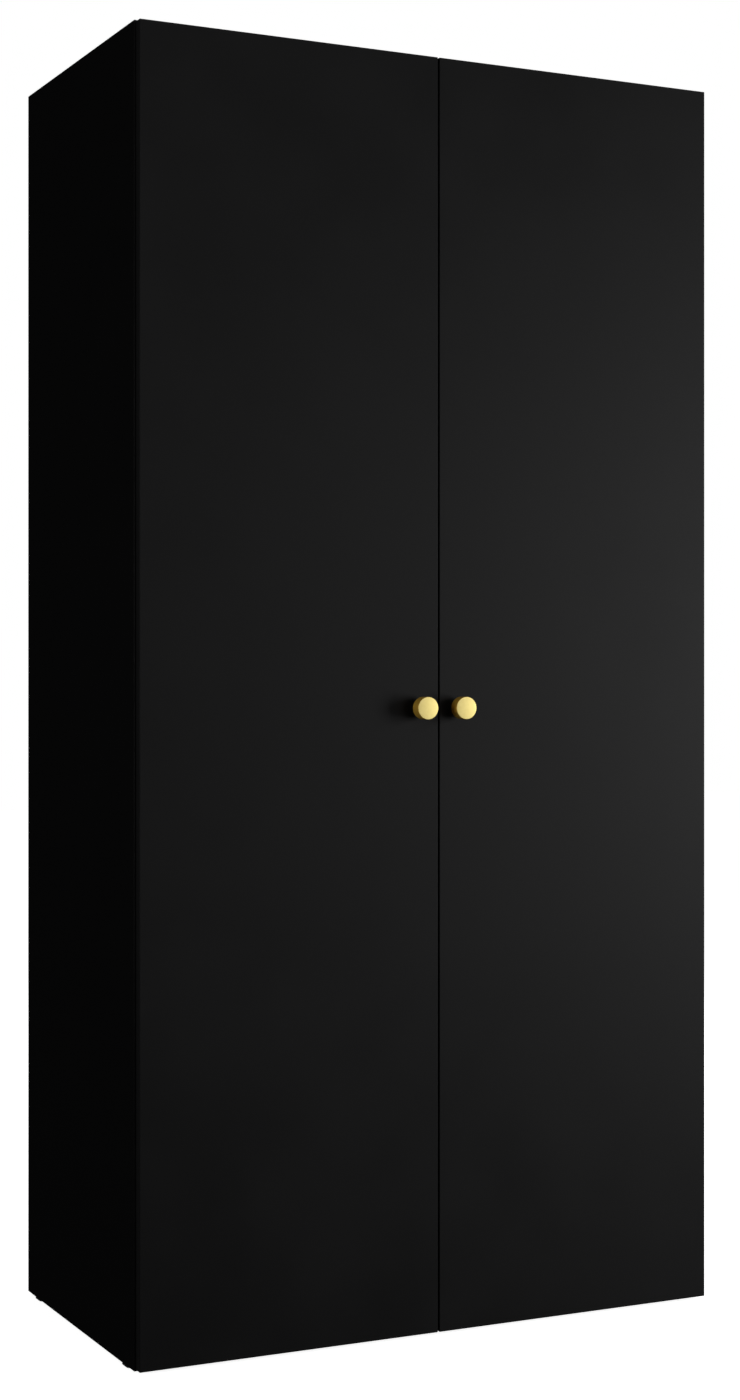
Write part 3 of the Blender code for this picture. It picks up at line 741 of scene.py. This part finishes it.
def make_knobs():
    """Turned knobs: a flat-faced head with a crisp edge, on a shorter stem with a small fillet."""
    for side in SIDES:
        low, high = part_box(f"knob_{side}")
        head = (high.x - low.x) / 2
        reach = DOOR_LOW.y - low.y
        stem = KNOB_STEM_SHARE * head
        profile = [(0.0, reach)]
        profile += arc((head - KNOB_EDGE, reach - KNOB_EDGE), KNOB_EDGE, 90, 0)
        profile += arc((head - KNOB_EDGE, KNOB_STEM_LENGTH + KNOB_EDGE), KNOB_EDGE, 0, -90)
        fillet = (stem + KNOB_FILLET, KNOB_STEM_LENGTH - KNOB_FILLET)
        profile += arc(fillet, KNOB_FILLET, 90, 180)
        profile += [(stem, KNOB_EDGE), (stem - KNOB_EDGE, 0.0), (0.0, 0.0)]
        mesh = turned_mesh(f"knob_{side}_turned", profile, 96, (0, -1, 0), knob_axis(side))
        smooth(mesh, 50.0)
        gold = make_gold(side, knob_axis(side))
        add_piece(mesh.name, mesh, [gold], f"door_{side}", [f"knob_{side}"])


make_knobs()


# Screws and other small fittings


def cross_loop(length, width):
    """A plus sign's outline."""
    corners = [(length / 2, -width / 2), (length / 2, width / 2), (width / 2, width / 2)]
    loop = []
    for _ in range(4):
        loop += corners
        corners = [(-y, x) for x, y in corners]
    return loop


def screw_mesh(radius, height):
    """A pan head with a cross recess, standing on the origin and pointing up."""
    profile = [
        (0.0, 0.0),
        (radius, 0.0),
        (radius, height * 0.35),
        (radius * 0.93, height * 0.70),
        (radius * 0.72, height * 0.93),
        (radius * 0.35, height),
        (0.0, height),
    ]
    head = turned_mesh("screw", profile, 32)
    cross = cross_loop(CROSS_SHARE * radius, CROSS_WIDTH)
    recess = prism_mesh("recess", cross, height - CROSS_DEPTH, 2 * height)
    head = with_boolean(head, recess, "DIFFERENCE")
    smooth(head, 40.0)
    return head


def placed(mesh, axis, place):
    """A copy of a mesh, its +Z turned to the axis and its origin moved to the place."""
    made = mesh.copy()
    made.transform(Matrix.Translation(place) @ frame_along(axis))
    return made


def add_screws(name, head, axis, places, body="carcass"):
    """One kind of screw head at several places on one face."""
    mesh = joined(name, [placed(head, axis, place) for place in places])
    smooth(mesh, 40.0)
    return add_piece(name, mesh, [STEEL], body)


def make_shelf_pins():
    """Four pins under each shelf, in the holes of the two panels beside it."""
    for bay, sign in SIDES.items():
        outer = sign * INNER_X
        inner = DIVIDER_HIGH.x if sign > 0 else DIVIDER_LOW.x
        for shelf in shelf_nodes(bay):
            for column, y in zip(("front", "rear"), pin_columns()):
                for end, face, into in (("outer", outer, -sign), ("inner", inner, sign)):
                    name = f"pin_{shelf}_{column}_{end}"
                    pin = shelf_pin(name, Vector((face, y, pin_height(shelf))), into)
                    add_piece(name, pin, [STEEL], "carcass")


def shelf_pin(name, place, into):
    """A dowel inside the panel's hole, and the spoon that a shelf lies on."""
    depth = PIN_HOLE_DEPTH - CONTACT
    dowel = drill(PIN_RADIUS, place, (-into, 0, 0), depth, past=PIN_DOWEL_OUT, steps=24)
    top = PIN_HOLE_RADIUS - CONTACT
    loop = [(-PIN_SPOON_HALF_WIDTH, top)]
    loop += arc((0.0, top - PIN_SPOON_EDGE), PIN_SPOON_HALF_WIDTH, 180, 360, 16)
    loop += [(PIN_SPOON_HALF_WIDTH, top)]
    flatten = PIN_SPOON_HEIGHT / PIN_SPOON_HALF_WIDTH
    loop = [(x, top + (y - top) * flatten) for x, y in loop]
    turn = Matrix(((0, 0, into, 0), (1, 0, 0, 0), (0, 1, 0, 0), (0, 0, 0, 1)))
    spoon = prism_mesh("spoon", loop, CONTACT, PIN_SPOON_REACH, Matrix.Translation(place) @ turn)
    mesh = joined(name, [dowel, spoon])
    smooth(mesh)
    return mesh


def make_cam_caps():
    """Thin moulded caps over the cam fittings, at both ends of each fixed joint."""
    shoulder = CAP_HEIGHT * 0.6
    rim = CAP_RADIUS - CAP_EDGE
    profile = [(0.0, -CONTACT), (CAP_RADIUS, -CONTACT), (CAP_RADIUS, shoulder)]
    profile += [(rim, CAP_HEIGHT), (rim - CAP_RIM, CAP_HEIGHT)]
    profile += [(rim - CAP_RIM - CAP_EDGE, shoulder), (CAP_DIMPLE, shoulder)]
    profile += [(CAP_DIMPLE - CAP_EDGE, CAP_HEIGHT * 0.2), (0.0, CAP_HEIGHT * 0.2)]
    cap = turned_mesh("cap", profile, 48)
    rows = {"front": FRONT_Y + CAP_FROM_FRONT, "rear": BACK_LOW.y - CAP_FROM_REAR}
    for row, y in rows.items():
        for side, sign in SIDES.items():
            x = sign * (INNER_X - CAP_FROM_END)
            add_cap(f"cam_cap_top_{side}_{row}", cap, (0, 0, -1), (x, y, TOP_LOW.z))
            add_cap(f"cam_cap_bottom_{side}_{row}", cap, (0, 0, 1), (x, y, BOTTOM_HIGH.z))
        for end, z in (("top", TOP_LOW.z - CAP_FROM_END), ("bottom", BOTTOM_HIGH.z + CAP_FROM_END)):
            add_cap(f"cam_cap_divider_{end}_{row}", cap, (-1, 0, 0), (DIVIDER_LOW.x, y, z))


def add_cap(name, cap, axis, place):
    mesh = placed(cap, axis, place)
    smooth(mesh, 40.0)
    add_piece(name, mesh, [PLASTIC], "carcass")


make_shelf_pins()
make_cam_caps()


# Hinges. Their CAD shapes stay, with fine edges, and get their screws and rivets.


def hinge_point(side, height, place):
    """A place given inward from the cup's middle, back from the door's inner face, and up."""
    inward, back, up = place
    low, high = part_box(f"hinge_cup_{side}_{height}")
    x = cup_middle_x(side, height) - SIDES[side] * inward
    return Vector((x, DOOR_HIGH.y + back, (low.z + high.z) / 2 + up))


def up_and_down(place):
    inward, back, up = place
    return [(inward, back, up), (inward, back, -up)]


def make_hinge_details():
    ear_head = screw_mesh(*EAR_SCREW)
    wing_head = screw_mesh(*WING_SCREW)
    web_head = screw_mesh(*WEB_SCREW)
    dome = [(0.0, -CONTACT), (RIVET_RADIUS, -CONTACT), (RIVET_RADIUS * 0.9, RIVET_HEIGHT * 0.6)]
    dome += [(RIVET_RADIUS * 0.5, RIVET_HEIGHT), (0.0, RIVET_HEIGHT)]
    rivet = turned_mesh("rivet", dome, 20)
    for side, sign in SIDES.items():
        inward = (-sign, 0, 0)
        for height in HEIGHTS:
            tag = f"{side}_{height}"
            ears = [hinge_point(side, height, place) for place in up_and_down(EAR_PLACE)]
            add_screws(f"hinge_ear_screws_{tag}", ear_head, (0, 1, 0), ears, f"door_{side}")
            wings = [hinge_point(side, height, place) for place in up_and_down(WING_PLACE)]
            add_screws(f"hinge_plate_screws_{tag}", wing_head, inward, wings)
            web = [hinge_point(side, height, place) for place in WEB_PLACES]
            add_screws(f"hinge_arm_screws_{tag}", web_head, inward, web)
            rivets = []
            for place in RIVET_PLACES:
                for one, axis in zip(up_and_down(place), ((0, 0, 1), (0, 0, -1))):
                    rivets.append(placed(rivet, axis, hinge_point(side, height, one)))
            mesh = joined("rivets", rivets)
            smooth(mesh)
            add_piece(f"hinge_rivets_{tag}", mesh, [STEEL], "carcass")


def refine_hinges():
    for name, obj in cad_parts.items():
        if name.startswith("hinge_"):
            bevel_edges(obj, HINGE_ROUNDING, 2, 50.0)


make_hinge_details()
refine_hinges()


# Hanging rail and sockets


def stadium(height, width, steps=24):
    """An oval with straight sides, as (across, up) points."""
    radius = width / 2
    rise = height / 2 - radius
    return arc((0.0, rise), radius, 0, 180, steps) + arc((0.0, -rise), radius, 180, 360, steps)


def tube_mesh(name, outer, inner, low, high, matrix):
    """A tube between two loops of equally many points."""

    def build(bm):
        loops = []
        for loop in (outer, inner):
            ends = [[matrix @ Vector((x, y, z)) for x, y in loop] for z in (low, high)]
            loops.append([[bm.verts.new(point) for point in end] for end in ends])
        for step in range(len(outer)):
            after = (step + 1) % len(outer)
            for near, far in loops:
                bm.faces.new((near[step], near[after], far[after], far[step]))
            for end in (0, 1):
                first, second = loops[0][end], loops[1][end]
                bm.faces.new((first[step], first[after], second[after], second[step]))

    return mesh_of(name, build)


def along_x(place):
    """A frame at a place, whose +Z points along world +X and whose +Y points up."""
    turn = Matrix(((0, 0, 1, 0), (1, 0, 0, 0), (0, 1, 0, 0), (0, 0, 0, 1)))
    return Matrix.Translation(place) @ turn


def make_rail():
    low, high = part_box("hanging_rail")
    middle = (low + high) / 2
    tall, wide = high.z - low.z, high.y - low.y
    inner = stadium(tall - 2 * RAIL_WALL, wide - 2 * RAIL_WALL)
    place = along_x((0.0, middle.y, middle.z))
    mesh = tube_mesh("hanging_rail_tube", stadium(tall, wide), inner, low.x, high.x, place)
    smooth(mesh)
    rail = add_piece(mesh.name, mesh, [CHROME], "carcass", ["hanging_rail"])
    soften(rail, METAL_ROUNDING, segments=2)
    head = screw_mesh(*SOCKET_SCREW)
    for side in SIDES:
        make_socket(side, head, middle, tall, wide)


def make_socket(side, head, middle, tall, wide):
    """A plate with a collar that the rail stands in, open towards the rail."""
    low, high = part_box(f"rail_socket_{side}")
    start, inward = (low.x, 1) if side == "left" else (high.x, -1)
    name = f"rail_socket_{side}_cast"
    hole = (tall + 2 * SOCKET_CLEARANCE, wide + 2 * SOCKET_CLEARANCE)
    outer = tuple(size + 2 * SOCKET_WALL for size in hole)
    place = along_x((0.0, middle.y, middle.z))
    plate_face = start + inward * SOCKET_PLATE
    back, front = sorted((start, plate_face))
    plate = prism_mesh("plate", stadium(high.z - low.z, high.y - low.y), back, front, place)
    end = high.x if side == "left" else low.x
    back, front = sorted((plate_face - inward * CONTACT, end))
    collar = tube_mesh("collar", stadium(*outer), stadium(*hole), back, front, place)
    mesh = joined(name, [plate, collar])
    smooth(mesh)
    socket = add_piece(name, mesh, [STEEL], "carcass", [f"rail_socket_{side}"])
    soften(socket, SOCKET_ROUNDING)
    heights = (-SOCKET_SCREW_HEIGHT, SOCKET_SCREW_HEIGHT)
    places = [(plate_face, middle.y, middle.z + height) for height in heights]
    add_screws(f"rail_socket_screws_{side}", head, (inward, 0, 0), places)


make_rail()


# Wall brackets


def make_brackets():
    """Bent angles with two screws up into the top panel and two free holes towards the wall."""
    head = screw_mesh(*BRACKET_SCREW)
    for side in SIDES:
        low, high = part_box(f"wall_bracket_{side}")
        middle_x = (low.x + high.x) / 2
        rear, top = high.y, high.z
        corner = (-BRACKET_BEND, -BRACKET_BEND)
        outside = arc(corner, BRACKET_BEND, 0, 90, 6)
        inside = arc(corner, BRACKET_BEND - BRACKET_THICKNESS, 90, 0, 6)
        leg_y, leg_z = low.y - rear, low.z - top
        loop = [(0.0, leg_z), *outside, (leg_y, 0.0), (leg_y, -BRACKET_THICKNESS), *inside]
        loop.append((-BRACKET_THICKNESS, leg_z))
        place = along_x((middle_x, rear, top))
        half = (high.x - low.x) / 2
        mesh = prism_mesh("bracket", loop, -half, half, place)
        holes = []
        screws = []
        for spread in (-BRACKET_HOLE_SPREAD, BRACKET_HOLE_SPREAD):
            x = middle_x + spread
            upper = (x, rear - BRACKET_HOLE_REACH, top - BRACKET_THICKNESS)
            screws.append(upper)
            wall = (x, rear - BRACKET_THICKNESS, top - BRACKET_HOLE_REACH)
            holes.append(drill(BRACKET_HOLE, wall, (0, 1, 0), 2 * BRACKET_THICKNESS, steps=28))
        mesh = with_boolean(mesh, joined("holes", holes), "DIFFERENCE")
        smooth(mesh)
        name, node = f"wall_bracket_{side}_bent", f"wall_bracket_{side}"
        bracket = add_piece(name, mesh, [STEEL], "carcass", [node])
        soften(bracket, METAL_ROUNDING, segments=2)
        add_screws(f"wall_bracket_screws_{side}", head, (0, 0, -1), screws)


make_brackets()


# Knob screws, door bumpers and glides


def make_knob_screws():
    radius, height = SCREW_HEAD
    head = screw_mesh(radius, height)
    for side in SIDES:
        low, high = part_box(f"knob_screw_{side}")
        axis = knob_axis(side)
        seat = Vector((axis.x, high.y - height, axis.z))
        length = seat.y - low.y
        shank = drill(SCREW_RADIUS, seat, (0, -1, 0), length, past=-CONTACT, steps=24)
        name = f"knob_screw_{side}_cross"
        mesh = joined(name, [placed(head, (0, 1, 0), seat), shank])
        smooth(mesh, 40.0)
        add_piece(name, mesh, [STEEL], f"door_{side}", [f"knob_screw_{side}"])


def make_bumpers():
    """Soft discs that the closed doors rest on, at the top and bottom panels' front edges."""
    edge = BUMPER_HEIGHT * 0.4
    profile = [(0.0, 0.0), (BUMPER_RADIUS, 0.0)]
    profile += arc((BUMPER_RADIUS - edge, BUMPER_HEIGHT - edge), edge, 0, 90)
    profile.append((0.0, BUMPER_HEIGHT))
    disc = turned_mesh("bumper", profile, 40)
    heights = {"low": DOOR_LOW.z + BUMPER_FROM_END, "high": DOOR_HIGH.z - BUMPER_FROM_END}
    for side, sign in SIDES.items():
        for end, z in heights.items():
            name = f"door_bumper_{side}_{end}"
            mesh = placed(disc, (0, 1, 0), (sign * BUMPER_FROM_MIDDLE, DOOR_HIGH.y, z))
            smooth(mesh, 40.0)
            add_piece(name, mesh, [PLASTIC], f"door_{side}")


def make_glides():
    """Moulded skids with round ends and soft edges."""
    for node in sorted(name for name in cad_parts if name.startswith("glide_")):
        low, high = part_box(node)
        middle = (low + high) / 2
        loop = stadium(high.y - low.y, high.x - low.x, steps=12)
        place = Matrix.Translation((middle.x, middle.y, 0.0))
        mesh = prism_mesh(f"{node}_skid", loop, low.z, high.z, place)
        smooth(mesh)
        skid = add_piece(mesh.name, mesh, [PLASTIC], "carcass", [node])
        soften(skid, GLIDE_ROUNDING)


make_knob_screws()
make_bumpers()
make_glides()


# CAD nodes that keep their shape


def dress(prefix, material):
    """Gives one material to every CAD node whose name starts with the prefix."""
    for name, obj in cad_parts.items():
        if name.startswith(prefix):
            obj.data.materials.clear()
            obj.data.materials.append(material)


dress("hinge_", STEEL)
dress("back_joint_strip", PLASTIC)
dress("back_panel_", HARDBOARD)


# Stage


def make_floor():
    def build(bm):
        bmesh.ops.create_grid(bm, x_segments=1, y_segments=1, size=FLOOR_HALF_SIZE)

    mesh = mesh_of("floor", build)
    floor = bpy.data.objects.new("floor", mesh)
    bpy.context.scene.collection.objects.link(floor)
    material = new_material("pale_floor", (0.86, 0.86, 0.86), 0.9)
    feed(material, "Roughness", remap(material, noise(material, 12.0), 0.3, 0.7, 0.85, 0.95))
    shader_of(material).inputs["Emission Color"].default_value = WHITE
    source = add_node(material, "ShaderNodeTexCoord")
    away = material.node_tree.nodes.new("ShaderNodeVectorMath")
    away.operation = "LENGTH"
    material.node_tree.links.new(source.outputs["Object"], away.inputs[0])
    glow = remap(material, away.outputs["Value"], *FLOOR_GLOW_SPAN, FLOOR_GLOW, 1.0)
    feed(material, "Emission Strength", glow)
    mesh.materials.append(material)
    floor.visible_diffuse = False
    floor.visible_glossy = False


def make_world():
    """White behind the object, and a little even light from all round."""
    world = bpy.data.worlds.new("studio")
    bpy.context.scene.world = world
    world.use_nodes = True
    tree = world.node_tree
    background = tree.nodes["Background"]
    background.inputs["Color"].default_value = WHITE
    background.inputs["Strength"].default_value = ROOM_LIGHT
    seen = tree.nodes.new("ShaderNodeBackground")
    seen.inputs["Color"].default_value = WHITE
    seen.inputs["Strength"].default_value = 1.0
    path = tree.nodes.new("ShaderNodeLightPath")
    mix = tree.nodes.new("ShaderNodeMixShader")
    tree.links.new(path.outputs["Is Camera Ray"], mix.inputs["Fac"])
    tree.links.new(background.outputs["Background"], mix.inputs[1])
    tree.links.new(seen.outputs["Background"], mix.inputs[2])
    tree.links.new(mix.outputs["Shader"], tree.nodes["World Output"].inputs["Surface"])


def add_softbox(name, place, target, width, height, power):
    light = bpy.data.lights.new(name, "AREA")
    light.shape = "RECTANGLE"
    light.size = width
    light.size_y = height
    light.energy = power
    obj = bpy.data.objects.new(name, light)
    bpy.context.scene.collection.objects.link(obj)
    obj.location = place
    obj.rotation_euler = (Vector(target) - Vector(place)).to_track_quat("-Z", "Y").to_euler()


def make_camera():
    camera = bpy.data.objects.new("camera", bpy.data.cameras.new("camera"))
    bpy.context.scene.collection.objects.link(camera)
    camera.location = CAMERA_PLACE
    camera.rotation_euler = (math.radians(90.0), 0.0, math.radians(-CAMERA_TURN))
    camera.data.sensor_width = 36.0
    camera.data.lens = CAMERA_LENS
    camera.data.shift_x, camera.data.shift_y = CAMERA_SHIFT
    bpy.context.scene.camera = camera


make_floor()
make_world()
for name, setup in SOFTBOXES.items():
    add_softbox(name, *setup)
make_camera()
bpy.context.scene.view_settings.view_transform = "Standard"
